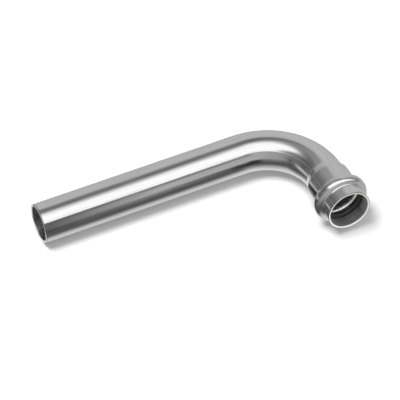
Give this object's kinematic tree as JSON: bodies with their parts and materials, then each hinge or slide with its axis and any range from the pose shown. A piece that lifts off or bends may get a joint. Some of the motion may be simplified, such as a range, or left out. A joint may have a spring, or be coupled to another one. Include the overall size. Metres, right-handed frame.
{
  "type": "press-fit pipe bend",
  "caption": "Right-angle metal pipe bend with a long plain leg and a press-fit socket sealed by a rubber ring, for heating and hot-water pipework.",
  "frame": {"origin": "centre of the plain end's face, on the axis of the long leg", "axes": "+X along the long leg towards the bend, -Y the way the socket opens, +Z normal to the plane of the bend; the part is symmetric about the plane z = 0"},
  "size_m": [0.1693, 0.0765, 0.0306],
  "materials": {
    "stainless_steel": "drawn and pickled, satin with soft reflections along the tube",
    "seal_rubber": "matte moulded rubber"
  },
  "bodies": {
    "root": {"elbow_body": "stainless_steel", "sealing_ring": "seal_rubber"}
  },
  "joints": []
}
